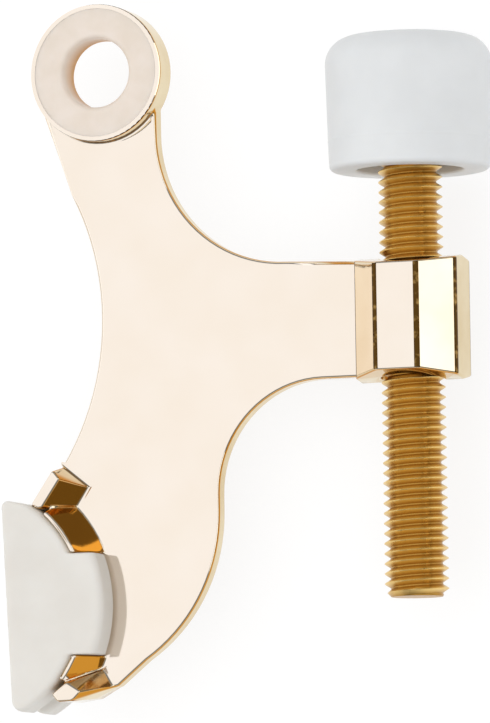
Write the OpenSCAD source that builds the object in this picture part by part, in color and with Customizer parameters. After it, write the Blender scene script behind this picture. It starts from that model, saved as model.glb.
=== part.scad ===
// Hinge-pin door stop. A cast bracket hangs on a door hinge's pin by its eye. A fixed rubber
// bumper bears on the casing, and a rubber cap on an adjustable threaded rod bears on the door.
//
// Frame: the origin is on the hinge pin's axis, level with the middle of the web.
// +Z runs along the hinge pin, upwards in use. +Y runs along the rod towards its cap.
// +X runs from the eye towards the rod.

/* [Eye and its bushing] */
// Outside diameter of the eye
eye_d = 17.4; // [15:0.1:22]
// Length of the eye along the hinge pin
eye_length = 4.45; // [3:0.05:10]
// Metal left round the bushing's flange
eye_rim = 0.4; // [0.3:0.05:2]
// Rounding of the eye's front edge
eye_edge = 0.25; // [0.1:0.05:0.5]
// Bore of the bushing, for a 5/16 inch hinge pin
bushing_bore_d = 8.7; // [8.1:0.05:9]
// Outside diameter of the bushing's sleeve
bushing_sleeve_d = 11.2; // [10.5:0.1:13]
// Thickness of the bushing's flange
bushing_flange_t = 1.5; // [0.8:0.1:2.5]
// Rounding of the bushing's mouth
bushing_mouth_r = 0.7; // [0.2:0.1:1]
// Squeeze of the bushing in the eye, on the radius
bushing_squeeze = 0.02; // [0:0.01:0.05]

/* [Web] */
// Thickness of the web and the arm
web_t = 2.5; // [2:0.1:4]
// Lean of the web's straight edge where it leaves the eye, in degrees
web_lean = 18; // [10:1:25]
// Radius of the long hollow edge that faces the casing
casing_hollow_r = 33.9; // [28:0.1:42]
// Centre of that edge, beside and below the eye
casing_hollow_x = 34.3; // [28:0.1:42]
// Distance of that centre below the eye
casing_hollow_drop = 30.8; // [26:0.1:36]
// Radius of the inside corner between the eye and the arm
upper_corner_r = 17; // [10:0.1:20]
// Width of the neck to the right of the eye's axis
neck_right = 7.3; // [6:0.1:8.5]
// Rise of the arm's upper edge from the rod to that inside corner
arm_rise = 0.7; // [0:0.1:1.5]
// Radius of the inside corner between the arm and the foot
lower_corner_r = 13.8; // [8:0.1:18]
// Radius of the foot's bulging edge
foot_bulge_r = 21.7; // [18:0.1:26]
// Width of the foot to the right of the eye's axis
foot_right = 15.05; // [12:0.05:18]
// Distance of the bulge's widest point below the eye
foot_widest_drop = 55.8; // [50:0.1:62]
// Angle at which the bulge runs into the foot's straight edge
foot_bulge_end = 57.4; // [45:0.1:70]

/* [Boss and rod] */
// Distance from the hinge pin's axis to the rod's axis
rod_reach = 40.6; // [32:0.1:55]
// Distance of the boss's middle below the eye
boss_drop = 32.8; // [28:0.1:40]
// Height of the boss at the web's middle plane
boss_height = 15.5; // [11:0.1:22]
// Step from the boss's upper end down to the arm
arm_step_above = 0.55; // [0.3:0.05:2]
// Step from the arm down to the boss's lower end
arm_step_below = 0.75; // [0.3:0.05:2]
// Width of the octagonal boss across its flats
boss_across_flats = 13.4; // [11.5:0.1:18]
// Slope of the boss's end faces from the parting plane, in degrees
boss_draft = 9; // [0:0.5:12]
// Thread's outside diameter
thread_d = 8; // [6:0.5:10]
// Thread's pitch
thread_pitch = 1.25; // [0.75:0.25:1.5]
// Clearance of the rod in the boss, on the radius
rod_clearance = 0.05; // [0.02:0.01:0.1]
// Length of rod showing below the boss
rod_below_boss = 26.8; // [12:0.1:45]
// Gap between the boss and the rubber cap
cap_gap = 10.8; // [4:0.1:25]
// Bevel at the rod's free end
rod_bevel = 0.8; // [0.3:0.1:1.5]

/* [Rubber cap] */
// Cap's largest diameter
cap_d = 20.8; // [18:0.1:26]
// Cap's height
cap_height = 16.8; // [12:0.1:24]
// Taper of the cap's side, on the radius
cap_taper = 0.35; // [0:0.05:1]
// Rounding of the cap's top edge
cap_top_r = 3.5; // [1:0.1:4]
// Rounding of the cap's lower edge
cap_rim_r = 0.7; // [0.2:0.1:1.5]
// Diameter of the cap's mouth
cap_mouth_d = 13.2; // [10:0.1:15]
// Depth of the mouth, below the pocket for the rod's head
cap_mouth_depth = 6; // [3:0.1:8]
// Diameter of the rod's head
head_d = 14.6; // [13:0.1:16]
// Thickness of the rod's head
head_t = 3.6; // [2:0.1:5]
// Clearance between the head and its pocket
head_clearance = 0.06; // [0.03:0.01:0.1]

/* [Fixed bumper and its saddle] */
// Distance of the saddle's axis to the left of the eye's axis
saddle_left = 17; // [14:0.1:20]
// Distance of the saddle's axis below the eye
saddle_drop = 67; // [60:0.1:74]
// Radius of the bumper's back
bumper_r = 15.2; // [13:0.1:18]
// Distance from the saddle's axis to the bumper's flat face
bumper_face = 5.2; // [3:0.1:7]
// Tilt of the flat face, in degrees
bumper_face_tilt = 2.5; // [0:0.5:8]
// Width of the bumper along the hinge pin
bumper_width = 12.1; // [9:0.1:18]
// Rounding of the bumper's back edges
bumper_edge_r = 1; // [0.4:0.1:1.5]
// Rounding of the bumper's lower tip
bumper_tip_r = 1.5; // [0.8:0.1:2.5]
// Height of the bumper's cut upper end above the saddle's axis
bumper_top = 12.95; // [11:0.05:13.5]
// Slope of that end, in degrees
bumper_top_slope = 16; // [0:1:25]
// Rounding of its outer corner
bumper_top_r = 0.8; // [0.4:0.1:1.5]
// Width of the groove between the bumper's two cheeks
groove_w = 2.6; // [1:0.1:4]
// Depth of the groove
groove_depth = 0.9; // [0.3:0.1:1.5]
// Height of the tab on each side of the bumper
tab_height = 12.7; // [8:0.1:16]
// Width of the saddle along the hinge pin
saddle_width = 12; // [9:0.1:18]
// Radius of the saddle's back where it meets the web
saddle_root_r = 18.1; // [16.5:0.1:21]
// Metal left at the saddle's thin edge
saddle_lip = 0.45; // [0.3:0.05:1]
// Clearance between the bumper and the saddle
bumper_clearance = 0.05; // [0.02:0.01:0.2]
// Angle of the saddle's upper end, in degrees
saddle_up_angle = 51; // [40:1:60]
// Angle of the saddle's lower end, in degrees
saddle_down_angle = 40; // [30:1:50]
// Thickness of each end fin at its thin edge
fin_t = 1.15; // [0.8:0.05:2]
// Reach of the upper fin beyond the saddle's thin edge
fin_reach = 4.3; // [2:0.1:6]
// Width of the lower fin's outer edges along the hinge pin
fin_edge = 0.2; // [0.1:0.1:1]
// Thickness of each end fin where it meets the web
fin_root_t = 4.2; // [2:0.1:6]

/* [Hidden] */
fine = 96;
cut = 0.5;
brass_plate = [0.93, 0.79, 0.55];
brass = [0.80, 0.60, 0.28];
nylon = [0.92, 0.89, 0.84];
rubber = [0.91, 0.91, 0.90];

web_top = web_t / 2;
eye_r = eye_d / 2;
eye_back = -web_top;
eye_front = eye_back + eye_length;
bore_r = bushing_bore_d / 2;
sleeve_r = bushing_sleeve_d / 2;
flange_r = eye_r - eye_rim;
flange_back = eye_front - bushing_flange_t;

boss_top = -boss_drop + boss_height / 2;
boss_bottom = -boss_drop - boss_height / 2;
arm_top = boss_top - arm_step_above;
arm_bottom = boss_bottom + arm_step_below;
boss_half = boss_across_flats / 2;
boss_corner_r = boss_half / cos(22.5);
boss_short = boss_half * tan(boss_draft);
thread_r = thread_d / 2;
thread_depth = 0.6134 * thread_pitch;
crest = thread_pitch / 8;
root_flat = thread_pitch / 4;
flank = (thread_pitch - crest - root_flat) / 2;
root_r = thread_r - thread_depth;

cap_low = boss_top + cap_gap;
cap_high = cap_low + cap_height;
cap_r = cap_d / 2;
head_r = head_d / 2;
pocket_low = cap_low + cap_mouth_depth;
head_low = pocket_low + head_clearance;
rod_end = boss_bottom - rod_below_boss;
rod_length = head_low - rod_end;
thread_turns = floor((rod_length - 2 * rod_bevel) / thread_pitch);

upper_corner_x = neck_right + upper_corner_r;
arm_root_top = arm_top + arm_rise;
upper_corner_y = arm_root_top + upper_corner_r;
lower_corner_x = foot_right + lower_corner_r;
lower_corner_y = arm_bottom - lower_corner_r;
bulge_x = foot_right - foot_bulge_r;
bulge_y = -foot_widest_drop;
bulge_end_x = bulge_x + foot_bulge_r * cos(foot_bulge_end);
bulge_end_y = bulge_y - foot_bulge_r * sin(foot_bulge_end);

saddle_x = -saddle_left;
saddle_y = -saddle_drop;
saddle_half = saddle_width / 2;
seat_r = bumper_r + bumper_clearance;
edge_r = seat_r + saddle_lip;
bumper_half = bumper_width / 2;
tab_back_r = saddle_root_r - bumper_clearance;
tab_low = web_top + bumper_clearance;
notch_height = tab_height + 2 * bumper_clearance;
fin_root_r = 20.9;
fin_up_angle = 57.3;
fin_root_turn = 1.05 * fin_root_t / fin_root_r * 180 / PI;
fin_turn = fin_t / 16 * 180 / PI;

// A point given by its distance and angle from the saddle's axis.
function seat_point(r, angle) = [saddle_x + r * cos(angle), saddle_y + r * sin(angle)];

// A straight prism whose middle is the web's middle plane.
module prism(points, height) {
    linear_extrude(height = height, center = true) polygon(points);
}

// A round bar through the web, used to cut its curved edges.
module web_cutter(x, y, r) {
    translate([x, y, 0]) cylinder(r = r, h = 4 * saddle_width, center = true, $fn = fine);
}

// The web's straight-edged outline, before its curved edges are cut.
module web_blank() {
    lean_x = -eye_r * cos(web_lean);
    lean_y = -eye_r * sin(web_lean);
    low_y = lean_y - 15;
    prism([
        [0, 0],
        [lean_x, lean_y],
        [lean_x + 15 * tan(web_lean), low_y],
        [-12, low_y],
        [-12, -48],
        seat_point(fin_root_r, fin_up_angle),
        seat_point(seat_r, 55.5),
        seat_point(bumper_face, 0),
        seat_point(seat_r, -46.2),
        seat_point(17.2, -44.9),
        seat_point(18.9, -37.5),
        seat_point(fin_root_r, -29.2),
        [bulge_end_x, bulge_end_y],
        [foot_right, bulge_y],
        [foot_right, lower_corner_y],
        [lower_corner_x, lower_corner_y],
        [lower_corner_x, arm_bottom],
        [rod_reach, arm_bottom],
        [rod_reach, arm_top],
        [upper_corner_x, arm_root_top],
        [upper_corner_x, upper_corner_y],
        [neck_right, upper_corner_y],
        [neck_right, -eye_r / 2]
    ], web_t);
}

// The rounded sector that fills out the foot's bulging edge.
module foot_bulge() {
    intersection() {
        translate([bulge_x, bulge_y, 0])
            cylinder(r = foot_bulge_r, h = web_t, center = true, $fn = fine);
        prism([
            [bulge_x, bulge_y],
            [bulge_x + 2 * foot_bulge_r, bulge_y],
            [bulge_x + 2 * foot_bulge_r, bulge_y - 2 * foot_bulge_r * sin(foot_bulge_end)],
            [bulge_x + 2 * foot_bulge_r * cos(foot_bulge_end),
             bulge_y - 2 * foot_bulge_r * sin(foot_bulge_end)]
        ], 2 * web_t);
    }
}

// The web with its three hollow edges.
module web() {
    difference() {
        union() {
            web_blank();
            foot_bulge();
        }
        web_cutter(-casing_hollow_x, -casing_hollow_drop, casing_hollow_r);
        web_cutter(upper_corner_x, upper_corner_y, upper_corner_r);
        web_cutter(lower_corner_x, lower_corner_y, lower_corner_r);
    }
}

// The eye's ring of metal, before it is bored for the bushing.
module eye_ring() {
    translate([0, 0, eye_back])
        cylinder(r = eye_r, h = eye_length - eye_edge, $fn = fine);
    translate([0, 0, eye_front - eye_edge])
        cylinder(r1 = eye_r, r2 = eye_r - eye_edge, h = eye_edge, $fn = fine);
}

// The room for the bushing's sleeve and flange.
module bushing_seat() {
    translate([0, 0, eye_back - cut])
        cylinder(r = sleeve_r, h = eye_length + 2 * cut, $fn = fine);
    translate([0, 0, flange_back])
        cylinder(r = flange_r, h = bushing_flange_t + cut, $fn = fine);
}

// The octagonal boss. Its end faces slope away from the parting plane.
module boss() {
    intersection() {
        translate([rod_reach, -boss_drop, 0])
            rotate([90, 22.5, 0])
                cylinder(r = boss_corner_r, h = boss_height, center = true, $fn = 8);
        translate([rod_reach, -boss_drop, 0])
            rotate([90, 0, 90])
                linear_extrude(height = 2 * boss_across_flats, center = true)
                    polygon([
                        [-boss_height / 2, 0],
                        [-boss_height / 2 + boss_short, -boss_half],
                        [boss_height / 2 - boss_short, -boss_half],
                        [boss_height / 2, 0],
                        [boss_height / 2 - boss_short, boss_half],
                        [-boss_height / 2 + boss_short, boss_half]
                    ]);
    }
}

// The plain hole through the boss.
module boss_bore() {
    translate([rod_reach, -boss_drop, 0])
        rotate([90, 0, 0])
            cylinder(r = thread_r + rod_clearance, h = boss_height + 2 * cut, center = true, $fn = fine);
}

// The saddle's round back. It tapers from the web to a thin edge on each side.
module saddle_back() {
    intersection() {
        translate([saddle_x, saddle_y, 0]) {
            cylinder(r = saddle_root_r, h = web_t, center = true, $fn = fine);
            for (side = [0, 1])
                mirror([0, 0, side])
                    translate([0, 0, web_top])
                        cylinder(r1 = saddle_root_r, r2 = edge_r, h = saddle_half - web_top, $fn = fine);
        }
        prism([
            seat_point(2, 0),
            seat_point(30, -saddle_down_angle),
            seat_point(36, 0),
            seat_point(30, saddle_up_angle)
        ], 2 * saddle_width);
    }
}

// The fin at the saddle's upper end, thin at its two outer edges and wide at the web.
module upper_fin() {
    hull() {
        prism([
            seat_point(fin_root_r, fin_up_angle),
            seat_point(fin_root_r, fin_up_angle - fin_root_turn),
            seat_point(saddle_root_r, 43.5),
            seat_point(seat_r - 0.1, 50),
            seat_point(seat_r - 0.1, 55.6)
        ], web_t);
        prism([
            seat_point(edge_r + fin_reach + 0.4, 55.4),
            seat_point(edge_r + fin_reach, 55.4 - 0.85 * fin_turn),
            seat_point(edge_r - 0.2, 55 - fin_turn),
            seat_point(seat_r - 0.1, 55.4)
        ], saddle_width);
    }
}

// The fin at the saddle's lower end. It reaches further out on the eye's raised side.
module lower_fin() {
    hull() {
        prism([
            seat_point(saddle_root_r + 0.2, -26),
            seat_point(20.6, -30.2),
            seat_point(19.2, -37.5),
            seat_point(17.2, -44.9),
            seat_point(seat_r - 0.1, -46.2),
            seat_point(seat_r - 0.1, -36)
        ], web_t);
        translate([0, 0, saddle_half - fin_edge])
            linear_extrude(height = fin_edge)
                polygon([
                    seat_point(edge_r + 0.6, -37.3),
                    seat_point(edge_r + 2.7, -37.1),
                    seat_point(edge_r + 2.7, -37.3 - fin_turn),
                    seat_point(edge_r + 1.4, -45.7),
                    seat_point(edge_r + 0.1, -45.5)
                ]);
        translate([0, 0, -saddle_half])
            linear_extrude(height = fin_edge)
                polygon([
                    seat_point(edge_r + 0.3, -46 + fin_turn),
                    seat_point(edge_r + 1.5, -36.7),
                    seat_point(edge_r + 0.6, -43.1),
                    seat_point(seat_r - 0.1, -46.5)
                ]);
    }
}

// The room for the bumper: its round back and a notch on each side for its tab.
module bumper_seat() {
    translate([saddle_x, saddle_y, 0])
        cylinder(r = seat_r, h = 2 * saddle_width, center = true, $fn = fine);
    for (side = [0, 1])
        mirror([0, 0, side])
            translate([saddle_x, saddle_y - notch_height / 2, web_top])
                cube([2 * saddle_root_r, notch_height, saddle_width]);
}

module bracket() {
    color(brass_plate)
        difference() {
            union() {
                web();
                eye_ring();
                boss();
                saddle_back();
                upper_fin();
                lower_fin();
            }
            bushing_seat();
            boss_bore();
            bumper_seat();
        }
}

module eye_bushing() {
    back = flange_back - eye_back;
    color(nylon)
        translate([0, 0, eye_back])
            rotate_extrude($fn = fine)
                difference() {
                    union() {
                        translate([bore_r, 0])
                            square([sleeve_r + bushing_squeeze - bore_r, eye_length]);
                        translate([bore_r, back])
                            square([flange_r + bushing_squeeze - bore_r, bushing_flange_t]);
                    }
                    difference() {
                        translate([bore_r - 1, eye_length - bushing_mouth_r])
                            square([1 + bushing_mouth_r, 1 + bushing_mouth_r]);
                        translate([bore_r + bushing_mouth_r, eye_length - bushing_mouth_r])
                            circle(r = bushing_mouth_r, $fn = 48);
                    }
                    difference() {
                        translate([bore_r - 1, -1])
                            square([1 + bushing_mouth_r, 1 + bushing_mouth_r]);
                        translate([bore_r + bushing_mouth_r, bushing_mouth_r])
                            circle(r = bushing_mouth_r, $fn = 48);
                    }
                }
}

// Half of the rod's cross-section. The thread is drawn as rings at its pitch.
module rod_profile() {
    polygon(concat(
        [[0, 0], [thread_r - rod_bevel, 0], [root_r, rod_bevel - thread_depth]],
        [for (i = [0 : thread_turns - 1], step = [0 : 3])
            [step == 0 || step == 3 ? root_r : thread_r,
             rod_bevel + i * thread_pitch
             + (step == 0 ? root_flat / 2
                : step == 1 ? root_flat / 2 + flank
                : step == 2 ? root_flat / 2 + flank + crest
                : thread_pitch - root_flat / 2)]],
        [[root_r, rod_length], [head_r - 0.4, rod_length], [head_r, rod_length + 0.4],
         [head_r, rod_length + head_t - 0.4], [head_r - 0.4, rod_length + head_t],
         [0, rod_length + head_t]]
    ));
}

module threaded_rod() {
    color(brass)
        translate([rod_reach, rod_end, 0])
            rotate([-90, 0, 0])
                rotate_extrude($fn = fine)
                    rod_profile();
}

// Half of the cap's solid outline, before its pocket is cut.
module cap_profile() {
    rim_x = cap_r - cap_taper;
    difference() {
        polygon([[0, 0], [rim_x, 0], [cap_r, cap_height - cap_top_r], [cap_r, cap_height], [0, cap_height]]);
        difference() {
            translate([cap_r - cap_top_r, cap_height - cap_top_r])
                square([cap_top_r + 1, cap_top_r + 1]);
            translate([cap_r - cap_top_r, cap_height - cap_top_r])
                circle(r = cap_top_r, $fn = 64);
        }
        difference() {
            translate([rim_x - cap_rim_r, -1])
                square([cap_rim_r + 1, cap_rim_r + 1]);
            translate([rim_x - cap_rim_r, cap_rim_r])
                circle(r = cap_rim_r, $fn = 48);
        }
    }
}

module rubber_cap() {
    color(rubber)
        translate([rod_reach, cap_low, 0])
            rotate([-90, 0, 0])
                difference() {
                    rotate_extrude($fn = fine) cap_profile();
                    translate([0, 0, -cut])
                        cylinder(d = cap_mouth_d, h = cap_mouth_depth + 2 * cut, $fn = fine);
                    translate([0, 0, cap_mouth_depth])
                        cylinder(r = head_r + head_clearance, h = head_t + 2 * head_clearance, $fn = fine);
                }
}

// Half of a round bar's outline with its two back edges rounded.
module rounded_bar(r, low, high) {
    difference() {
        translate([0, low])
            square([r, high - low]);
        difference() {
            translate([r - bumper_edge_r, high - bumper_edge_r])
                square([bumper_edge_r + 1, bumper_edge_r + 1]);
            translate([r - bumper_edge_r, high - bumper_edge_r])
                circle(r = bumper_edge_r, $fn = 48);
        }
        difference() {
            translate([r - bumper_edge_r, low - 1])
                square([bumper_edge_r + 1, bumper_edge_r + 1]);
            translate([r - bumper_edge_r, low + bumper_edge_r])
                circle(r = bumper_edge_r, $fn = 48);
        }
    }
}

// The outline that leaves the bumper its flat face, its cut upper end and its lower tip.
module bumper_clip() {
    tip_x = bumper_face + bumper_tip_r;
    tip_y = bumper_tip_r - sqrt(bumper_r * bumper_r - tip_x * tip_x);
    top_x = bumper_face + bumper_top_r;
    top_y = bumper_top - bumper_top_r;
    turn_x = top_x + bumper_top_r * sin(bumper_top_slope);
    turn_y = top_y + bumper_top_r * cos(bumper_top_slope);
    end_x = turn_x + bumper_r * cos(bumper_top_slope);
    end_y = turn_y - bumper_r * sin(bumper_top_slope);
    prism([
        [bumper_face, tip_y],
        [tip_x, tip_y],
        [tip_x, -2 * bumper_r],
        [2 * bumper_r, -2 * bumper_r],
        [2 * bumper_r, end_y],
        [end_x, end_y],
        [turn_x, turn_y],
        [top_x, top_y],
        [bumper_face, top_y]
    ], 2 * bumper_width);
    translate([tip_x, tip_y, 0])
        cylinder(r = bumper_tip_r, h = 2 * bumper_width, center = true, $fn = 48);
    translate([top_x, top_y, 0])
        cylinder(r = bumper_top_r, h = 2 * bumper_width, center = true, $fn = 48);
}

module fixed_bumper() {
    color(rubber) {
        translate([saddle_x, saddle_y, 0])
            rotate([0, 0, bumper_face_tilt])
                intersection() {
                    union() {
                        rotate_extrude($fn = fine) {
                            rounded_bar(bumper_r, groove_w / 2, bumper_half);
                            rounded_bar(bumper_r, -bumper_half, -groove_w / 2);
                        }
                        cylinder(r = bumper_r - groove_depth, h = bumper_width / 2, center = true, $fn = fine);
                    }
                    bumper_clip();
                }
        translate([saddle_x, saddle_y, 0])
            intersection() {
                rotate_extrude($fn = fine) {
                    translate([0, tab_low])
                        square([tab_back_r - bumper_edge_r, bumper_half - tab_low]);
                    rounded_bar(tab_back_r, tab_low, bumper_half);
                    mirror([0, 1])
                        rounded_bar(tab_back_r, tab_low, bumper_half);
                }
                translate([bumper_r / 2, -tab_height / 2, -bumper_width])
                    cube([2 * saddle_root_r, tab_height, 2 * bumper_width]);
            }
    }
}

bracket();
eye_bushing();
threaded_rod();
rubber_cap();
fixed_bumper();
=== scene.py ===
"""Hinge-pin door stop: the pieces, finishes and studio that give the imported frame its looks."""
import logging
import math
from dataclasses import dataclass, field
from enum import Enum
from typing import Callable

import bmesh
import bpy
from mathutils import Matrix, Vector


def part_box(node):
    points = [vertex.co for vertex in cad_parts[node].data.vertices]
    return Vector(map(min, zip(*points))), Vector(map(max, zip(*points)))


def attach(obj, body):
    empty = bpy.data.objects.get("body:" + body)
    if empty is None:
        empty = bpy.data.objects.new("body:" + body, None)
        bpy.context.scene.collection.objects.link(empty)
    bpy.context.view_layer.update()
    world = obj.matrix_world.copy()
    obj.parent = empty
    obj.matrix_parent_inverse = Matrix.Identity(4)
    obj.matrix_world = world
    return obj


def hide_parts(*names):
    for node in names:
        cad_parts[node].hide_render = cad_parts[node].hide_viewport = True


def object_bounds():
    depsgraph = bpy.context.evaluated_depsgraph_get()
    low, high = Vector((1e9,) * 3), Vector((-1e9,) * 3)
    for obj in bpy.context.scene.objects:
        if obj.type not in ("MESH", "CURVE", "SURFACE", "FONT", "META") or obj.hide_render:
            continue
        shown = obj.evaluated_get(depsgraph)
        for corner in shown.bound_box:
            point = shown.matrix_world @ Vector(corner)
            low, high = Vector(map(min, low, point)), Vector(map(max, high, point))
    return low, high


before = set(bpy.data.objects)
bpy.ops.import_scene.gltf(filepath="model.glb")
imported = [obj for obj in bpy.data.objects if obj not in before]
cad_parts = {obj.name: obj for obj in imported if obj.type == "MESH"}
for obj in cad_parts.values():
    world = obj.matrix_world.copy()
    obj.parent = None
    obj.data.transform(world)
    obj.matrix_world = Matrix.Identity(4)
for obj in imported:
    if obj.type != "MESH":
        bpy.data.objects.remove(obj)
cad_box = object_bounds()

log = logging.getLogger("door_stop")
MM = 0.001
# a colour Mix node's own inputs and output, which share their names with its number ones
COLOUR_A, COLOUR_B, COLOUR_OUT = 6, 7, 2
# faces that meet at less than this many degrees are one flat face
FLAT_ANGLE = 0.3
# a radius below this is a point on the axis
ON_AXIS = 1e-7


class Body(Enum):
    """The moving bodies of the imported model."""

    BRACKET = "bracket"
    CAP = "cap"
    ROD = "rod"


class Slot(Enum):
    """The record's material slots."""

    BRACKET = "plated_bracket"
    NYLON = "nylon"
    ROD = "brass_rod"
    RUBBER = "white_rubber"


def linear(code: str) -> tuple[float, float, float, float]:
    """Turns an sRGB hex colour to linear values.

    Args:
        code: Six hex digits, such as "c8a050".

    Returns:
        Linear red, green and blue, and an alpha of 1.
    """
    parts = [int(code[i : i + 2], 16) / 255 for i in (0, 2, 4)]
    red, green, blue = (p / 12.92 if p <= 0.04045 else ((p + 0.055) / 1.055) ** 2.4 for p in parts)
    return red, green, blue, 1.0


def add_node(
    tree: bpy.types.NodeTree, kind: str, inputs: dict | None = None, **settings,
) -> bpy.types.Node:
    """Adds a node with its settings, and gives each input a value or a link.

    Args:
        tree: The node tree it goes in.
        kind: The node's type name.
        inputs: Input name or number to a plain value or to the socket that feeds it.
        **settings: Properties of the node.

    Returns:
        The new node.
    """
    node = tree.nodes.new(kind)
    for name, value in settings.items():
        setattr(node, name, value)
    for name, value in (inputs or {}).items():
        if isinstance(value, bpy.types.NodeSocket):
            tree.links.new(value, node.inputs[name])
        else:
            node.inputs[name].default_value = value
    return node


def new_material(name: str) -> tuple[bpy.types.Material, bpy.types.NodeTree]:
    """Makes an empty node material.

    Args:
        name: The material's name.

    Returns:
        The material and its node tree.
    """
    material = bpy.data.materials.new(name)
    material.use_nodes = True
    material.node_tree.nodes.clear()
    return material, material.node_tree


def spots_per_metre(size_mm: float) -> float:
    """The noise scale whose spots are about this many millimetres across."""
    return 1.0 / (size_mm * MM)


@dataclass(frozen=True)
class PolishedBrassPlate:
    """Bright brass plate over a die casting, mirror-like on its flats.

    The colour follows how level a face is, as painted light. The flats are painted pale, a painted
    highlight for the bleached glare off them, and the side walls a little deeper. The steep slopes
    and rounded edges are painted deep gold, partly the plate's own gold and partly painted shade
    and reflection of the gold faces in each other. The casting's slow waves bend the reflections.
    """

    name: str = "polished_brass_plate"
    flat_highlight_tint: str = "f6ebdf"
    flat_highlight_cloud_tint: str = "f4e8da"
    wall_tint: str = "e6d6b2"
    wall_cloud_tint: str = "dac498"
    slope_gold_and_shade_tint: str = "c98a2e"
    # how level a face is, from 0 upright to 1 flat, where the painted highlight of the flats starts
    # and is full
    highlight_from: float = 0.62
    highlight_full: float = 0.8
    # the same measure where the slopes' gold, partly painted shade, comes in and goes out
    slope_in: tuple[float, float] = (0.12, 0.25)
    slope_out: tuple[float, float] = (0.64, 0.5)
    roughness: float = 0.05
    haze: float = 0.05
    cloud_mm: float = 7.0
    wave_mm: float = 11.0
    wave_height: float = 0.3 * MM
    scratch_mm: float = 0.35
    scratch_length: float = 9.0
    scratch_height: float = 0.02 * MM

    def material(self) -> bpy.types.Material:
        """Builds the node material.

        Returns:
            The plate's material.
        """
        material, tree = new_material(self.name)
        place = add_node(tree, "ShaderNodeTexCoord").outputs["Object"]
        normal = add_node(tree, "ShaderNodeNewGeometry").outputs["Normal"]
        tilt = add_node(tree, "ShaderNodeSeparateXYZ", {0: normal}).outputs["Z"]
        level = add_node(tree, "ShaderNodeMath", {0: tilt}, operation="ABSOLUTE").outputs[0]
        # painted highlight: the more level a face, the paler its colour
        painted_highlight = add_node(
            tree, "ShaderNodeMapRange",
            {0: level, 1: self.highlight_from, 2: self.highlight_full}, clamp=True,
        ).outputs[0]
        # slow clouds where the wheel pressed more or less
        cloud = add_node(
            tree, "ShaderNodeTexNoise",
            {
                "Vector": place, "Scale": spots_per_metre(self.cloud_mm),
                "Detail": 3.0, "Roughness": 0.45,
            },
        ).outputs["Fac"]
        paler = add_node(tree, "ShaderNodeMapRange", {0: cloud, 1: 0.35, 2: 0.7}).outputs[0]
        flat = add_node(
            tree, "ShaderNodeMix",
            {
                "Factor": paler,
                COLOUR_A: linear(self.flat_highlight_cloud_tint), COLOUR_B: linear(self.flat_highlight_tint),
            },
            data_type="RGBA",
        ).outputs[COLOUR_OUT]
        wall = add_node(
            tree, "ShaderNodeMix",
            {
                "Factor": paler,
                COLOUR_A: linear(self.wall_cloud_tint), COLOUR_B: linear(self.wall_tint),
            },
            data_type="RGBA",
        ).outputs[COLOUR_OUT]
        plain = add_node(
            tree, "ShaderNodeMix",
            {"Factor": painted_highlight, COLOUR_A: wall, COLOUR_B: flat}, data_type="RGBA",
        ).outputs[COLOUR_OUT]
        rising = add_node(
            tree, "ShaderNodeMapRange",
            {0: level, 1: self.slope_in[0], 2: self.slope_in[1]}, clamp=True,
        ).outputs[0]
        falling = add_node(
            tree, "ShaderNodeMapRange",
            {0: level, 1: self.slope_out[0], 2: self.slope_out[1]}, clamp=True,
        ).outputs[0]
        # painted shade and reflection: slopes and rounded edges turn deep gold by their tilt
        painted_slope_shade = add_node(
            tree, "ShaderNodeMath", {0: rising, 1: falling}, operation="MULTIPLY",
        ).outputs[0]
        colour = add_node(
            tree, "ShaderNodeMix",
            {"Factor": painted_slope_shade, COLOUR_A: plain, COLOUR_B: linear(self.slope_gold_and_shade_tint)}, data_type="RGBA",
        ).outputs[COLOUR_OUT]
        # wheel marks, real ones are about 0.02 mm and drawn coarser so that they show
        stretch = add_node(
            tree, "ShaderNodeMapping", {"Vector": place, "Scale": (1.0, self.scratch_length, 1.0)},
        ).outputs[0]
        marks = add_node(
            tree, "ShaderNodeTexNoise",
            {
                "Vector": stretch,
                "Scale": spots_per_metre(self.scratch_mm * self.scratch_length),
                "Detail": 4.0, "Roughness": 0.6,
            },
        ).outputs["Fac"]
        haze = add_node(
            tree, "ShaderNodeMapRange",
            {0: marks, 1: 0.4, 2: 0.8, 3: self.roughness, 4: self.roughness + self.haze},
        ).outputs[0]
        waves = add_node(
            tree, "ShaderNodeTexNoise",
            {"Vector": place, "Scale": spots_per_metre(self.wave_mm), "Detail": 1.0},
        ).outputs["Fac"]
        slow = add_node(
            tree, "ShaderNodeBump",
            {"Height": waves, "Strength": 0.25, "Distance": self.wave_height},
        ).outputs[0]
        fine = add_node(
            tree, "ShaderNodeBump",
            {"Height": marks, "Strength": 0.04, "Distance": self.scratch_height, "Normal": slow},
        ).outputs[0]
        shader = add_node(
            tree, "ShaderNodeBsdfPrincipled",
            {"Base Color": colour, "Metallic": 1.0, "Roughness": haze, "Normal": fine},
        )
        add_node(tree, "ShaderNodeOutputMaterial", {"Surface": shader.outputs[0]})
        return material


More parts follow.
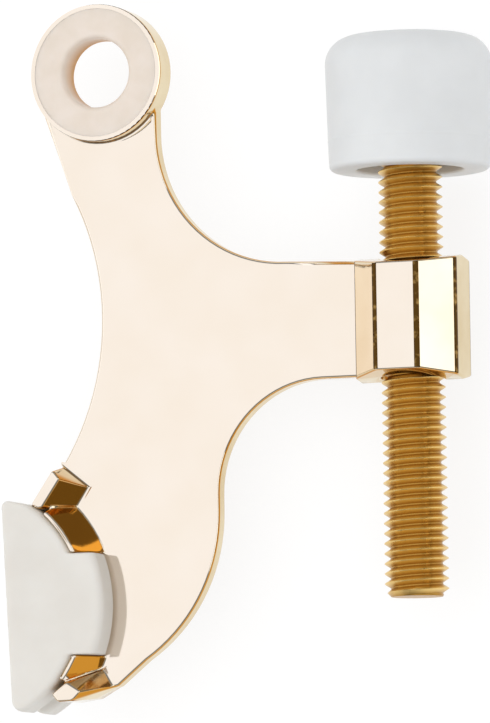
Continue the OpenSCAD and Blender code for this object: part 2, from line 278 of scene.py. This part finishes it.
@dataclass(frozen=True)
class PaintedDarkCorner:
    """A dark line painted along the boss's rounded corners, a painted reflection of the dim room.

    It stays glossy and wanders a little.
    """

    name: str = "painted_dark_corner"
    tint: str = "553c18"
    lighter_patch_tint: str = "b08d52"
    roughness: float = 0.22
    patch_mm: float = 0.9
    patch_height: float = 0.05 * MM

    def material(self) -> bpy.types.Material:
        """Builds the node material.

        Returns:
            The corner line's material.
        """
        material, tree = new_material(self.name)
        place = add_node(tree, "ShaderNodeTexCoord").outputs["Object"]
        patches = add_node(
            tree, "ShaderNodeTexNoise",
            {"Vector": place, "Scale": spots_per_metre(self.patch_mm), "Detail": 3.0},
        ).outputs["Fac"]
        share = add_node(
            tree, "ShaderNodeMapRange", {0: patches, 1: 0.55, 2: 0.75}, clamp=True,
        ).outputs[0]
        # painted reflection: a dark line with lighter patches
        colour = add_node(
            tree, "ShaderNodeMix",
            {"Factor": share, COLOUR_A: linear(self.tint), COLOUR_B: linear(self.lighter_patch_tint)},
            data_type="RGBA",
        ).outputs[COLOUR_OUT]
        bump = add_node(
            tree, "ShaderNodeBump",
            {"Height": patches, "Strength": 0.2, "Distance": self.patch_height},
        ).outputs[0]
        shader = add_node(
            tree, "ShaderNodeBsdfPrincipled",
            {"Base Color": colour, "Metallic": 1.0, "Roughness": self.roughness, "Normal": bump},
        )
        add_node(tree, "ShaderNodeOutputMaterial", {"Surface": shader.outputs[0]})
        return material


@dataclass(frozen=True)
class RolledBrassThread:
    """Bright brass plate on a rolled thread.

    The crests are painted paler and the roots a darker brown: a painted highlight on the crests and
    painted shade in the grooves, with fine marks that run round the rod.
    """

    crest_radius: float
    root_radius: float
    axis_x: float
    name: str = "rolled_brass_thread"
    crest_highlight_tint: str = "eecd84"
    root_shade_tint: str = "b68a42"
    roughness: float = 0.3
    mark_mm: float = 0.5
    mark_height: float = 0.04 * MM

    def material(self) -> bpy.types.Material:
        """Builds the node material.

        Returns:
            The thread's material.
        """
        material, tree = new_material(self.name)
        place = add_node(tree, "ShaderNodeTexCoord").outputs["Object"]
        centred = add_node(
            tree, "ShaderNodeVectorMath", {0: place, 1: (-self.axis_x, 0.0, 0.0)},
        ).outputs[0]
        across = add_node(
            tree, "ShaderNodeVectorMath", {0: centred, 1: (1.0, 0.0, 1.0)}, operation="MULTIPLY",
        ).outputs[0]
        reach = add_node(
            tree, "ShaderNodeVectorMath", {0: across}, operation="LENGTH",
        ).outputs["Value"]
        # painted highlight and shade: paler towards the crests, darker brown towards the roots
        high = add_node(
            tree, "ShaderNodeMapRange",
            {0: reach, 1: self.root_radius, 2: self.crest_radius}, clamp=True,
        ).outputs[0]
        colour = add_node(
            tree, "ShaderNodeMix",
            {"Factor": high, COLOUR_A: linear(self.root_shade_tint), COLOUR_B: linear(self.crest_highlight_tint)},
            data_type="RGBA",
        ).outputs[COLOUR_OUT]
        marks = add_node(
            tree, "ShaderNodeTexNoise",
            {
                "Vector": place, "Scale": spots_per_metre(self.mark_mm),
                "Detail": 4.0, "Roughness": 0.55,
            },
        ).outputs["Fac"]
        dull = add_node(
            tree, "ShaderNodeMapRange",
            {0: marks, 1: 0.3, 2: 0.75, 3: self.roughness - 0.05, 4: self.roughness + 0.12},
        ).outputs[0]
        bump = add_node(
            tree, "ShaderNodeBump",
            {"Height": marks, "Strength": 0.3, "Distance": self.mark_height},
        ).outputs[0]
        shader = add_node(
            tree, "ShaderNodeBsdfPrincipled",
            {"Base Color": colour, "Metallic": 1.0, "Roughness": dull, "Normal": bump},
        )
        add_node(tree, "ShaderNodeOutputMaterial", {"Surface": shader.outputs[0]})
        return material


@dataclass(frozen=True)
class MouldedSoft:
    """A moulded light polymer: a matte skin with a faint cloud and a very fine grain.

    A little light goes in and comes out again, so its shaded side stays pale.
    """

    name: str
    tint: str
    cloud_tint: str
    roughness: float
    ior: float
    glow_mm: float
    glow_share: float = 0.25
    # how far red, green and blue light travel inside, against each other
    glow_spread: tuple[float, float, float] = (1.0, 0.9, 0.8)
    cloud_mm: float = 6.0
    grain_mm: float = 0.25
    grain_height: float = 0.03 * MM

    def material(self) -> bpy.types.Material:
        """Builds the node material.

        Returns:
            The polymer's material.
        """
        material, tree = new_material(self.name)
        place = add_node(tree, "ShaderNodeTexCoord").outputs["Object"]
        colour = self.colour(tree, place)
        grain = add_node(
            tree, "ShaderNodeTexNoise",
            {"Vector": place, "Scale": spots_per_metre(self.grain_mm), "Detail": 2.0},
        ).outputs["Fac"]
        rough = add_node(
            tree, "ShaderNodeMapRange",
            {0: grain, 1: 0.3, 2: 0.7, 3: self.roughness - 0.05, 4: self.roughness + 0.05},
        ).outputs[0]
        bump = add_node(
            tree, "ShaderNodeBump",
            {"Height": grain, "Strength": 0.12, "Distance": self.grain_height},
        ).outputs[0]
        shader = add_node(
            tree, "ShaderNodeBsdfPrincipled",
            {
                "Base Color": colour, "Roughness": rough, "IOR": self.ior, "Normal": bump,
                "Subsurface Weight": self.glow_share, "Subsurface Radius": self.glow_spread,
                "Subsurface Scale": self.glow_mm * MM,
            },
        )
        add_node(tree, "ShaderNodeOutputMaterial", {"Surface": shader.outputs[0]})
        return material

    def colour(self, tree: bpy.types.NodeTree, place: bpy.types.NodeSocket) -> bpy.types.NodeSocket:
        """Makes the clouded colour.

        Args:
            tree: The material's node tree.
            place: The surface point in the row frame.

        Returns:
            The colour's socket.
        """
        cloud = add_node(
            tree, "ShaderNodeTexNoise",
            {"Vector": place, "Scale": spots_per_metre(self.cloud_mm), "Detail": 3.0},
        ).outputs["Fac"]
        share = add_node(tree, "ShaderNodeMapRange", {0: cloud, 1: 0.35, 2: 0.7}).outputs[0]
        return add_node(
            tree, "ShaderNodeMix",
            {"Factor": share, COLOUR_A: linear(self.cloud_tint), COLOUR_B: linear(self.tint)},
            data_type="RGBA",
        ).outputs[COLOUR_OUT]


@dataclass(frozen=True)
class MouldedNylon(MouldedSoft):
    """Natural nylon: milky; its bore is painted gold deeper down, brass showing through and painted
    shade.
    """

    bore_gold_and_shade_tint: str = "c48c34"
    wall_radius: float = 5.0 * MM
    wall_blend: float = 0.5 * MM
    # heights in the bore between which the painted gold and shade comes in
    shallow: float = 2.7 * MM
    deep: float = -0.4 * MM

    def colour(self, tree: bpy.types.NodeTree, place: bpy.types.NodeSocket) -> bpy.types.NodeSocket:
        """Makes the clouded colour, with gold painted down the bore, part brass behind, part
        painted shade.

        Args:
            tree: The material's node tree.
            place: The surface point in the row frame.

        Returns:
            The colour's socket.
        """
        milky = super().colour(tree, place)
        across = add_node(
            tree, "ShaderNodeVectorMath", {0: place, 1: (1.0, 1.0, 0.0)}, operation="MULTIPLY",
        ).outputs[0]
        reach = add_node(
            tree, "ShaderNodeVectorMath", {0: across}, operation="LENGTH",
        ).outputs["Value"]
        inside = add_node(
            tree, "ShaderNodeMapRange",
            {0: reach, 1: self.wall_radius, 2: self.wall_radius - self.wall_blend}, clamp=True,
        ).outputs[0]
        height = add_node(tree, "ShaderNodeSeparateXYZ", {0: place}).outputs["Z"]
        depth = add_node(
            tree, "ShaderNodeMapRange", {0: height, 1: self.shallow, 2: self.deep}, clamp=True,
        ).outputs[0]
        share = add_node(
            tree, "ShaderNodeMath", {0: inside, 1: depth}, operation="MULTIPLY",
        ).outputs[0]
        # gold deeper in the bore: partly the brass showing through, partly painted shade in the
        # hole
        return add_node(
            tree, "ShaderNodeMix",
            {"Factor": share, COLOUR_A: milky, COLOUR_B: linear(self.bore_gold_and_shade_tint)}, data_type="RGBA",
        ).outputs[COLOUR_OUT]


# silicone-like moulded rubber: matte, cool grey-white
WHITE_RUBBER = MouldedSoft(
    name="moulded_white_rubber", tint="e4e6e7", cloud_tint="dfe1e2",
    roughness=0.5, ior=1.5, glow_mm=1.0,
)
# the same rubber tinted warmer, painted warm light bounced from the brass beside it
RUBBER_PAINTED_WARM_BOUNCE = MouldedSoft(
    name="moulded_white_rubber_painted_warm_bounce", tint="e6e3dd", cloud_tint="e1ddd6",
    roughness=0.5, ior=1.5, glow_mm=1.0,
)
# natural nylon: milky, warmer than the rubber
NATURAL_NYLON = MouldedNylon(
    name="moulded_natural_nylon", tint="ebdfd4", cloud_tint="e5d8ca",
    roughness=0.42, ior=1.53, glow_mm=1.5, cloud_mm=3.0,
)


def finish_object(
    name: str, mesh: bpy.types.Mesh, material: bpy.types.Material,
    body: Body, node: str,
) -> bpy.types.Object:
    """Links a piece, dresses it and lets it stand for its CAD node.

    Args:
        name: The piece's name.
        mesh: Its finished mesh.
        material: Its finish.
        body: The body it rides on.
        node: The CAD node that it stands for.

    Returns:
        The new object.
    """
    piece = bpy.data.objects.new(name, mesh)
    bpy.context.scene.collection.objects.link(piece)
    mesh.materials.append(material)
    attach(piece, body.value)
    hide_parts(node)
    log.info("%s: %d faces on %s", name, len(mesh.polygons), body.value)
    return piece


def applied(mesh: bpy.types.Mesh, dress: Callable[[bpy.types.Object], None]) -> bpy.types.Mesh:
    """Runs a mesh through modifiers and returns what comes out.

    Args:
        mesh: The mesh to work on.
        dress: Adds the modifiers to the object it is given.

    Returns:
        A new mesh with the modifiers applied.
    """
    work = bpy.data.objects.new("work", mesh)
    bpy.context.scene.collection.objects.link(work)
    dress(work)
    graph = bpy.context.evaluated_depsgraph_get()
    result = bpy.data.meshes.new_from_object(work.evaluated_get(graph))
    bpy.data.objects.remove(work)
    return result


def clean_copy(node: str, weld: float) -> bpy.types.Mesh:
    """Copies a CAD node's mesh, welds it and joins its flat faces.

    Args:
        node: The CAD node's name.
        weld: Points closer than this become one.

    Returns:
        A new mesh in the row frame.
    """
    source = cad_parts[node]
    work = bmesh.new()
    work.from_mesh(source.data)
    work.transform(source.matrix_world)
    bmesh.ops.remove_doubles(work, verts=work.verts, dist=weld)
    bmesh.ops.dissolve_limit(
        work, angle_limit=math.radians(FLAT_ANGLE), verts=work.verts, edges=work.edges,
    )
    for face in work.faces:
        face.material_index = 0
    mesh = bpy.data.meshes.new(f"{node}_copy")
    work.to_mesh(mesh)
    work.free()
    return mesh


def turned(
    profile: list[tuple[float, float]], centre: Vector, along: Vector, sides: int = 96,
) -> bpy.types.Mesh:
    """Turns a closed outline round an axis.

    Args:
        profile: Distances from the axis and places along it, in order, closed on itself.
        centre: A point on the axis.
        along: The axis's direction.
        sides: How many steps make the full turn.

    Returns:
        A smooth-shaded mesh.
    """
    turn = Vector((0.0, 0.0, 1.0)).rotation_difference(along).to_matrix()
    work = bmesh.new()
    rings: list[list[bmesh.types.BMVert]] = []
    for radius, place in profile:
        if radius < ON_AXIS:
            rings.append([work.verts.new(centre + turn @ Vector((0.0, 0.0, place)))])
            continue
        rings.append([
            work.verts.new(centre + turn @ Vector((
                radius * math.cos(step * math.tau / sides),
                radius * math.sin(step * math.tau / sides),
                place,
            )))
            for step in range(sides)
        ])
    for ring, other in zip(rings, rings[1:] + rings[:1]):
        for step in range(sides):
            nearby = (step + 1) % sides
            corners = [ring[step % len(ring)], ring[nearby % len(ring)]]
            corners += [other[nearby % len(other)], other[step % len(other)]]
            corners = list(dict.fromkeys(corners))
            if len(corners) > 2:
                work.faces.new(corners)
    bmesh.ops.recalc_face_normals(work, faces=work.faces)
    mesh = bpy.data.meshes.new("turned")
    work.to_mesh(mesh)
    work.free()
    mesh.shade_smooth()
    mesh.set_sharp_from_angle(angle=math.radians(40))
    return mesh


def arc(
    centre: tuple[float, float], radius: float, start: float, end: float, steps: int = 10,
) -> list[tuple[float, float]]:
    """Points on an arc of an outline.

    Args:
        centre: Distance from the axis and place along it.
        radius: The arc's radius.
        start: First angle in degrees, with 0 straight out from the axis.
        end: Last angle in degrees.
        steps: How many steps the arc takes.

    Returns:
        The arc's points, its ends among them.
    """
    turns = [math.radians(start + (end - start) * step / steps) for step in range(steps + 1)]
    return [
        (centre[0] + radius * math.cos(turn), centre[1] + radius * math.sin(turn))
        for turn in turns
    ]


@dataclass
class PlatedBracket:
    """The cast bracket: eye, web, arm, boss, saddle and fins in one casting.

    Its edges are rounded as a buffing wheel leaves them, and the boss's long corners are rounder.
    """

    edge_round: float = 0.55 * MM
    other_share: float = 0.6
    edge_steps: int = 5
    edge_angle: float = 24.0
    web_half: float = 1.25 * MM
    corner_round: float = 0.4 * MM
    corner_steps: int = 3
    weld: float = 0.04 * MM
    shortest_edge: float = 0.13 * MM
    same_place: float = 0.05 * MM
    sharp_angle: float = 50.0
    boss_left: float = 33.9 * MM
    boss_reach: float = 8.0 * MM
    shortest_corner: float = 5.0 * MM

    def build(self) -> bpy.types.Object:
        """Builds and dresses the bracket.

        Returns:
            The bracket's piece.
        """
        mesh = applied(self.round_corners(clean_copy("bracket", self.weld)), self.round_edges)
        mesh.shade_smooth()
        mesh.set_sharp_from_angle(angle=math.radians(self.sharp_angle))
        mesh = applied(mesh, self.flatten_normals)
        piece = finish_object(
            "polished_bracket", mesh, PolishedBrassPlate().material(),
            Body.BRACKET, "bracket",
        )
        # the boss's rounded corners get the painted dark reflection line
        mesh.materials.append(PaintedDarkCorner().material())
        return piece

    def round_corners(self, mesh: bpy.types.Mesh) -> bpy.types.Mesh:
        """Rounds the boss's corners that run along the rod, as faces of a second material.

        Args:
            mesh: The bracket's mesh, which is changed.

        Returns:
            The same mesh.
        """
        low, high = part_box("threaded_rod")
        rod_x = (low.x + high.x) / 2
        work = bmesh.new()
        work.from_mesh(mesh)
        bmesh.ops.dissolve_degenerate(work, edges=work.edges, dist=self.shortest_edge)
        corners = [edge for edge in work.edges if self.is_boss_corner(edge, rod_x)]
        bmesh.ops.bevel(
            work, geom=corners, offset=self.corner_round, segments=self.corner_steps, profile=0.5,
            affect="EDGES", material=1, clamp_overlap=False,
        )
        share = work.edges.layers.float.new("bevel_weight_edge")
        for edge in work.edges:
            edge[share] = self.round_share(edge)
        work.to_mesh(mesh)
        work.free()
        log.info("boss: %d corners rounded", len(corners))
        return mesh

    def round_share(self, edge: bmesh.types.BMEdge) -> float:
        """Says how much of the full rounding an edge gets.

        Args:
            edge: An edge of the bracket.

        Returns:
            1 for the web's rim, a share for the rest, and 0 where the surface hardly turns or
            where the arm runs into the boss.
        """
        if edge.calc_face_angle(0.0) < math.radians(self.edge_angle):
            return 0.0
        places = [vert.co for vert in edge.verts]
        if all(abs(place.x - self.boss_left) < self.same_place for place in places):
            return 0.0
        on_rim = all(abs(abs(place.z) - self.web_half) < self.same_place for place in places)
        return 1.0 if on_rim and edge.is_convex else self.other_share

    def is_boss_corner(self, edge: bmesh.types.BMEdge, rod_x: float) -> bool:
        """Says whether an edge is one of the boss's corners along the rod.

        Args:
            edge: An edge of the bracket.
            rod_x: The rod's place across the part.

        Returns:
            True for such a corner.
        """
        run = edge.verts[1].co - edge.verts[0].co
        near = abs(edge.verts[0].co.x - rod_x) < self.boss_reach
        along = run.length > self.shortest_corner and abs(run.normalized().y) > 0.98
        # an octagon's sides turn by an eighth of a circle
        return near and along and abs(edge.calc_face_angle(0.0) - math.tau / 8) < 0.1

    def round_edges(self, work: bpy.types.Object) -> None:
        """Adds the bevel that rounds the casting's edges.

        Args:
            work: The object that gets the modifier.
        """
        bevel = work.modifiers.new("edges", "BEVEL")
        bevel.width = self.edge_round
        bevel.segments = self.edge_steps
        bevel.limit_method = "WEIGHT"
        bevel.use_clamp_overlap = False

    def flatten_normals(self, work: bpy.types.Object) -> None:
        """Adds face-weighted normals, so that the flats reflect as flats.

        Args:
            work: The object that gets the modifier.
        """
        weighted = work.modifiers.new("normals", "WEIGHTED_NORMAL")
        weighted.mode = "FACE_AREA"
        weighted.weight = 100
        weighted.keep_sharp = True


@dataclass
class EyeBushing:
    """The nylon bushing in the eye: a flange and a sleeve with rounded mouths."""

    bore_radius: float = 4.35 * MM
    sleeve_radius: float = 5.6 * MM
    flange_thickness: float = 1.5 * MM
    mouth_round: float = 0.7 * MM
    rim_round: float = 0.06 * MM
    crown: float = 0.05 * MM
    sides: int = 128

    def build(self) -> bpy.types.Object:
        """Builds and dresses the bushing.

        Returns:
            The bushing's piece.
        """
        low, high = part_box("eye_bushing")
        rim = high.x
        bottom, top = low.z, high.z
        bore, mouth, edge = self.bore_radius, self.mouth_round, self.rim_round
        profile = arc((bore + mouth, bottom + mouth), mouth, 180, 270)
        profile += [(self.sleeve_radius, bottom), (self.sleeve_radius, top - self.flange_thickness)]
        profile += [(rim, top - self.flange_thickness)]
        profile += arc((rim - edge, top - self.crown - edge), edge, 0, 90, 5)
        profile += [((rim + bore) / 2, top)]
        profile += arc((bore + mouth, top - self.crown - mouth), mouth, 90, 180)
        mesh = turned(profile, Vector((0.0, 0.0, 0.0)), Vector((0.0, 0.0, 1.0)), self.sides)
        return finish_object(
            "nylon_bushing", mesh, NATURAL_NYLON.material(),
            Body.BRACKET, "eye_bushing",
        )


@dataclass
class FixedBumper:
    """The half-round rubber bumper in the bracket's saddle, soft at every corner."""

    cell: float = 0.16 * MM
    smoothing: int = 6
    weld: float = 0.002 * MM

    def build(self) -> bpy.types.Object:
        """Builds and dresses the bumper.

        Returns:
            The bumper's piece.
        """
        mesh = applied(clean_copy("fixed_bumper", self.weld), self.soften)
        mesh.shade_smooth()
        return finish_object(
            # the bumper takes the warmer copy: painted bounce light from the saddle's brass
            "fixed_rubber_bumper", mesh, RUBBER_PAINTED_WARM_BOUNCE.material(),
            Body.BRACKET, "fixed_bumper",
        )

    def soften(self, work: bpy.types.Object) -> None:
        """Adds the even skin and the smoothing that round the moulding's corners.

        Args:
            work: The object that gets the modifiers.
        """
        skin = work.modifiers.new("skin", "REMESH")
        skin.mode = "VOXEL"
        skin.voxel_size = self.cell
        soft = work.modifiers.new("soft", "SMOOTH")
        soft.factor = 0.5
        soft.iterations = self.smoothing


@dataclass
class ThreadedRod:
    """The adjusting rod: one continuous right-hand thread and the round head inside the cap."""

    pitch: float = 1.25 * MM
    crest_radius: float = 4.0 * MM
    # a metric external thread's depth, in pitches
    depth_share: float = 0.6134
    head_thickness: float = 3.6 * MM
    head_round: float = 0.4 * MM
    head_overlap: float = 0.05 * MM
    bevel: float = 0.8 * MM
    sides: int = 64
    sharp_angle: float = 42.0
    # share of a pitch and share of the thread's depth, up one flank and down the other
    outline: tuple[tuple[float, float], ...] = (
        (0.00, 0.00), (0.06, 0.02), (0.12, 0.10), (0.42, 0.88), (0.47, 0.98),
        (0.50, 1.00), (0.53, 0.98), (0.58, 0.88), (0.88, 0.10), (0.94, 0.02),
    )

    def build(self) -> bpy.types.Object:
        """Builds and dresses the rod.

        Returns:
            The rod's piece.
        """
        low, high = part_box("threaded_rod")
        centre_x = (low.x + high.x) / 2
        head_radius = (high.x - low.x) / 2
        crest = self.crest_radius
        root = crest - self.depth_share * self.pitch
        head_low = high.y - self.head_thickness
        thread = self.thread(low.y, head_low, crest, root, centre_x)
        turn = self.head_round
        profile = [(0.0, head_low - self.head_overlap), (head_radius - turn, head_low)]
        profile += arc((head_radius - turn, head_low + turn), turn, -90, 0, 4)
        profile += arc((head_radius - turn, high.y - turn), turn, 0, 90, 4)
        profile += [(0.0, high.y)]
        head = turned(profile, Vector((centre_x, 0.0, 0.0)), Vector((0.0, 1.0, 0.0)))
        work = bmesh.new()
        work.from_mesh(thread)
        work.from_mesh(head)
        mesh = bpy.data.meshes.new("rod")
        work.to_mesh(mesh)
        work.free()
        mesh.shade_smooth()
        mesh.set_sharp_from_angle(angle=math.radians(self.sharp_angle))
        finish = RolledBrassThread(crest, root, centre_x)
        return finish_object(
            "threaded_rod_piece", mesh, finish.material(), Body.ROD, "threaded_rod",
        )

    def thread(
        self, low: float, high: float, crest: float, root: float, centre_x: float,
    ) -> bpy.types.Mesh:
        """Builds the threaded shank with its bevelled free end.

        Args:
            low: Where the free end is.
            high: Where the head starts.
            crest: The crest's radius.
            root: The root's radius.
            centre_x: The axis's place across the part.

        Returns:
            The shank's mesh, closed at both ends.
        """
        end_radius = crest - self.bevel
        turns = math.ceil((high - low) / self.pitch) + 2
        rows = [
            (start + share, depth) for start in range(-1, turns) for share, depth in self.outline
        ]
        work = bmesh.new()
        grid: list[list[bmesh.types.BMVert]] = []
        for place, depth in rows:
            ring = []
            for step in range(self.sides + 1):
                turn = step / self.sides
                along = low + (place - 1.0 + turn) * self.pitch
                radius = root + (crest - root) * depth
                radius = min(radius, end_radius + max(0.0, along - low))
                if along < low:
                    along, radius = low, end_radius
                if along > high:
                    along, radius = high, root
                angle = turn * math.tau
                ring.append(work.verts.new((
                    centre_x + radius * math.sin(angle), along, radius * math.cos(angle),
                )))
            grid.append(ring)
        for ring, other in zip(grid, grid[1:]):
            for step in range(self.sides):
                work.faces.new((ring[step], ring[step + 1], other[step + 1], other[step]))
        bmesh.ops.remove_doubles(work, verts=work.verts, dist=0.003 * MM)
        bmesh.ops.dissolve_degenerate(work, edges=work.edges, dist=0.002 * MM)
        bmesh.ops.holes_fill(work, edges=work.edges, sides=0)
        bmesh.ops.recalc_face_normals(work, faces=work.faces)
        mesh = bpy.data.meshes.new("thread")
        work.to_mesh(mesh)
        work.free()
        return mesh


@dataclass
class RubberCap:
    """The rubber cap on the rod's end: a drum with a rounded top, a soft rim and a pocket."""

    top_round: float = 3.5 * MM
    rim_round: float = 0.7 * MM
    taper: float = 0.35 * MM
    mouth_radius: float = 6.6 * MM
    mouth_depth: float = 6.0 * MM
    pocket_radius: float = 7.36 * MM
    pocket_height: float = 3.72 * MM
    mouth_round: float = 0.4 * MM
    seam: float = 0.04 * MM
    seam_place: float = 0.22
    # millimetres along the cap and share of the seam's height
    seam_outline: tuple[tuple[float, float], ...] = (
        (0.3, 0.0), (0.12, 0.3), (0.0, 1.0), (-0.12, 0.3), (-0.3, 0.0),
    )
    sides: int = 128

    def build(self) -> bpy.types.Object:
        """Builds and dresses the cap.

        Returns:
            The cap's piece.
        """
        low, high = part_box("rubber_cap")
        centre = Vector(((low.x + high.x) / 2, 0.0, 0.0))
        radius = (high.x - low.x) / 2
        rim = radius - self.taper
        bottom, top = low.y, high.y
        shoulder = top - self.top_round
        seam_middle = bottom + self.seam_place * (top - bottom)
        profile = [(0.0, top)]
        profile += arc((radius - self.top_round, shoulder), self.top_round, 90, 0, 16)
        # the mould's halves meet in a faint raised line
        for step, proud in self.seam_outline:
            place = seam_middle + step * MM
            share = (place - bottom) / (shoulder - bottom)
            profile.append((rim + share * self.taper + proud * self.seam, place))
        soft = self.rim_round
        profile += arc((rim - soft, bottom + soft), soft, 0, -90, 8)
        mouth = self.mouth_radius + self.mouth_round
        profile += arc((mouth, bottom + self.mouth_round), self.mouth_round, 270, 180, 6)
        pocket_low = bottom + self.mouth_depth
        pocket_high = pocket_low + self.pocket_height
        profile += [(self.mouth_radius, pocket_low), (self.pocket_radius, pocket_low)]
        profile += [(self.pocket_radius, pocket_high), (0.0, pocket_high)]
        mesh = turned(profile, centre, Vector((0.0, 1.0, 0.0)), self.sides)
        return finish_object(
            "rubber_cap_piece", mesh, WHITE_RUBBER.material(), Body.CAP, "rubber_cap",
        )


@dataclass(frozen=True)
class SoftLamp:
    """A rectangular lamp that faces the part and isn't seen itself."""

    name: str
    place: tuple[float, float, float]
    wide: float
    tall: float
    watts: float
    mirrored: bool = True

    def build(self) -> None:
        """Hangs the lamp."""
        data = bpy.data.lights.new(self.name, "AREA")
        data.shape = "RECTANGLE"
        data.size = self.wide
        data.size_y = self.tall
        data.energy = self.watts
        lamp = bpy.data.objects.new(self.name, data)
        lamp.location = self.place
        lamp.rotation_mode = "QUATERNION"
        lamp.rotation_quaternion = (-Vector(self.place)).to_track_quat("-Z", "Y")
        lamp.visible_camera = False
        lamp.visible_glossy = self.mirrored
        bpy.context.scene.collection.objects.link(lamp)


@dataclass
class Studio:
    """A white table in a dim room: a soft light overhead, a wide card left, a strip right.

    The room is dim up to the height dome_start and fully bright from dome_full, both as the
    height of a direction from 0 at the horizon to 1 overhead.
    """

    floor_gap: float = 0.4 * MM
    floor_half: float = 6.0
    floor_tint: str = "f4f4f4"
    floor_grey: float = 0.25
    floor_glow: float = 0.86
    dome: float = 1.05
    horizon: float = 0.24
    dome_start: float = 0.48
    dome_full: float = 0.66
    lamps: tuple[SoftLamp, ...] = (
        SoftLamp("right_strip", (0.94, 0.09, 0.36), 1.2, 0.28, 1.5),
        SoftLamp("left_card", (-0.94, 0.05, 0.38), 2.4, 0.5, 3.5),
        SoftLamp("soft_fill", (0.0, 0.0, 1.4), 2.0, 2.0, 4.0, mirrored=False),
    )

    def build(self) -> None:
        """Makes the floor, the surround and the lights."""
        self.floor()
        self.surround()
        for lamp in self.lamps:
            lamp.build()
        bpy.context.scene.view_settings.view_transform = "Standard"
        bpy.context.scene.view_settings.look = "None"
        log.info("studio ready")

    def floor(self) -> None:
        """Makes the pale floor, lit a little from inside like a light table."""
        level = cad_box[0].z - self.floor_gap
        work = bmesh.new()
        half = self.floor_half
        corners = ((-half, -half), (half, -half), (half, half), (-half, half))
        work.faces.new([work.verts.new((x, y, level)) for x, y in corners])
        mesh = bpy.data.meshes.new("floor")
        work.to_mesh(mesh)
        work.free()
        material, tree = new_material("pale_floor")
        grain = add_node(tree, "ShaderNodeTexNoise", {"Scale": 3.0, "Detail": 2.0}).outputs["Fac"]
        rough = add_node(tree, "ShaderNodeMapRange", {0: grain, 3: 0.7, 4: 0.8}).outputs[0]
        shader = add_node(
            tree, "ShaderNodeBsdfPrincipled",
            {
                "Base Color": (self.floor_grey, self.floor_grey, self.floor_grey, 1.0),
                "Roughness": rough, "Specular IOR Level": 0.0,
                "Emission Color": linear(self.floor_tint), "Emission Strength": self.floor_glow,
            },
        )
        add_node(tree, "ShaderNodeOutputMaterial", {"Surface": shader.outputs[0]})
        mesh.materials.append(material)
        floor = bpy.data.objects.new("floor", mesh)
        bpy.context.scene.collection.objects.link(floor)

    def surround(self) -> None:
        """Makes the room: bright overhead, dim at the horizon and white past the table."""
        world = bpy.data.worlds.new("studio")
        world.use_nodes = True
        tree = world.node_tree
        tree.nodes.clear()
        way = add_node(tree, "ShaderNodeTexCoord").outputs["Generated"]
        height = add_node(tree, "ShaderNodeSeparateXYZ", {0: way}).outputs["Z"]
        room = add_node(
            tree, "ShaderNodeMapRange",
            {0: height, 1: self.dome_start, 2: self.dome_full, 3: self.horizon, 4: self.dome},
            interpolation_type="SMOOTHSTEP",
        ).outputs[0]
        seen = add_node(tree, "ShaderNodeLightPath").outputs["Is Camera Ray"]
        strength = add_node(tree, "ShaderNodeMix", {0: seen, 2: room, 3: 1.0}).outputs[0]
        light = add_node(
            tree, "ShaderNodeBackground", {"Color": (1.0, 1.0, 1.0, 1.0), "Strength": strength},
        )
        add_node(tree, "ShaderNodeOutputWorld", {"Surface": light.outputs[0]})
        bpy.context.scene.world = world


@dataclass
class Camera:
    """A long lens nearly straight above the web, turned a little to the right and below.

    The turn, dip and lean are in degrees, and the lens and sensor in millimetres.
    """

    turn: float = 20.0
    dip: float = 5.0
    lean: float = 0.88
    target: tuple[float, float, float] = (18.36 * MM, -37.11 * MM, 0.0)
    distance: float = 1.0
    lens: float = 398.0
    sensor: float = 36.0
    far_end: float = 50.0

    def build(self) -> None:
        """Makes the camera and gives it to the scene."""
        turn, dip = math.radians(self.turn), math.radians(self.dip)
        back = Vector((
            math.sin(turn) * math.cos(dip), -math.sin(dip), math.cos(turn) * math.cos(dip),
        ))
        right = Vector((math.cos(turn), 0.0, -math.sin(turn)))
        up = back.cross(right)
        rod = Vector((0.0, 1.0, 0.0))
        roll = -math.radians(self.lean) - math.atan2(rod.dot(right), rod.dot(up))
        across = right * math.cos(roll) + up * math.sin(roll)
        upright = up * math.cos(roll) - right * math.sin(roll)
        data = bpy.data.cameras.new("camera")
        data.lens = self.lens
        data.sensor_width = self.sensor
        data.clip_end = self.far_end
        camera = bpy.data.objects.new("camera", data)
        spin = Matrix((across, upright, back)).transposed().to_4x4()
        camera.matrix_world = Matrix.Translation(Vector(self.target) + back * self.distance) @ spin
        bpy.context.scene.collection.objects.link(camera)
        bpy.context.scene.camera = camera
        log.info("camera ready")


@dataclass
class DoorStop:
    """The whole door stop."""

    bracket: PlatedBracket = field(default_factory=PlatedBracket)
    bushing: EyeBushing = field(default_factory=EyeBushing)
    bumper: FixedBumper = field(default_factory=FixedBumper)
    rod: ThreadedRod = field(default_factory=ThreadedRod)
    cap: RubberCap = field(default_factory=RubberCap)

    def build(self) -> list[bpy.types.Object]:
        """Builds every sub-assembly in order.

        Returns:
            The finished pieces.
        """
        parts = (self.bracket, self.bushing, self.bumper, self.rod, self.cap)
        return [part.build() for part in parts]


def main() -> None:
    """Builds the camera, the door stop and the studio, and reports them."""
    logging.basicConfig(level=logging.INFO, format="%(name)s: %(message)s")
    Camera().build()
    pieces = DoorStop().build()
    Studio().build()
    log.info("%d pieces built", len(pieces))


if __name__ == "__main__":
    main()
